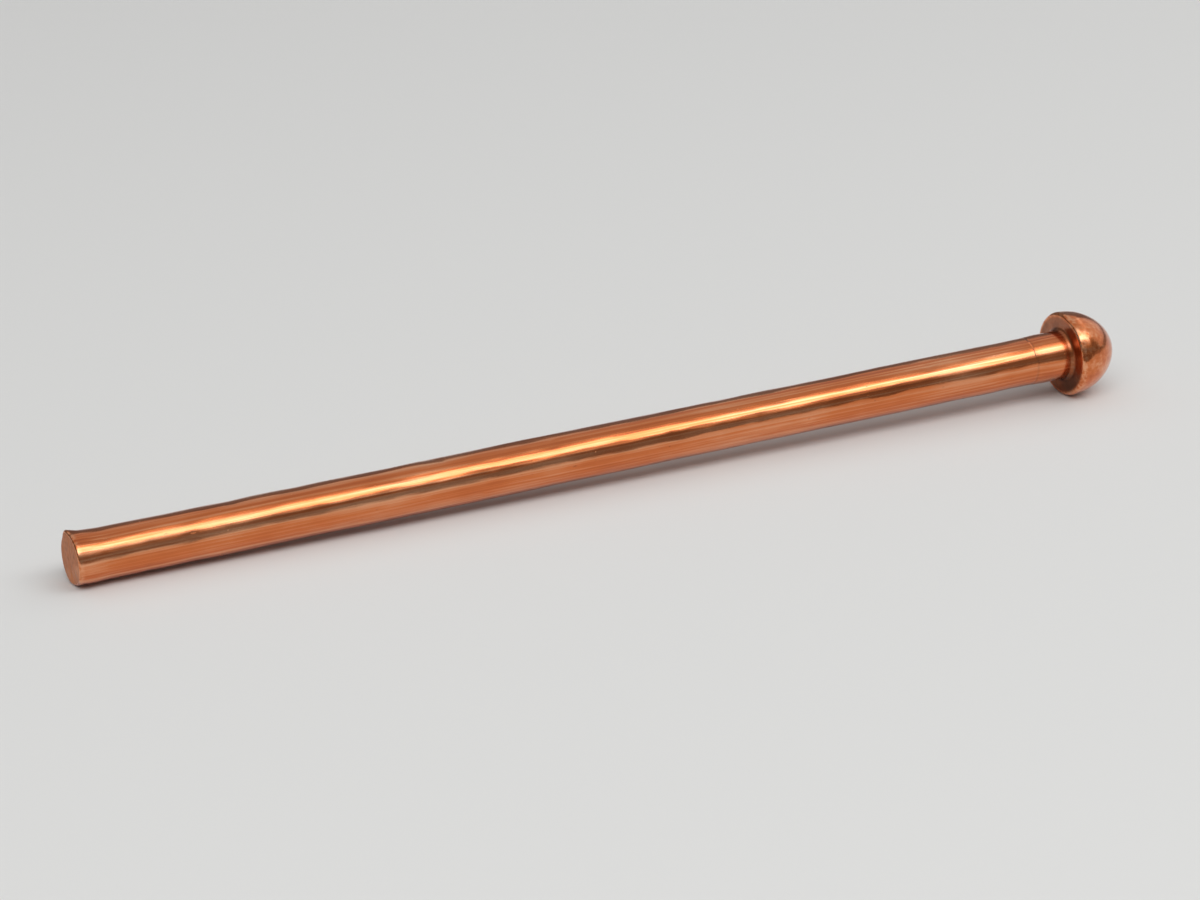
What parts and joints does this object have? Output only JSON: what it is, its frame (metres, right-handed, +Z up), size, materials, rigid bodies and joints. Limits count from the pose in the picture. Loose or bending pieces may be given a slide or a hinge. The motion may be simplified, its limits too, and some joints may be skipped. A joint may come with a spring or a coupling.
{
  "type": "weld stud",
  "caption": "Copper-plated steel weld stud: a domed head on a straight plain wire shank, spot-welded by its nose to sheet metal so that the shank can be gripped and pulled.",
  "frame": {"origin": "on the surface the stud lies on, under the middle of its bounding box", "axes": "+X from the tail towards the head, +Z up; the stud's own axis rises by 0.95 degrees from tail to head, because it lies on its head rim and its tail edge"},
  "size_m": [0.0508, 0.004, 0.0039],
  "materials": {
    "copper_plate": "satin"
  },
  "bodies": {
    "root": {"stud": "copper_plate"}
  },
  "joints": []
}
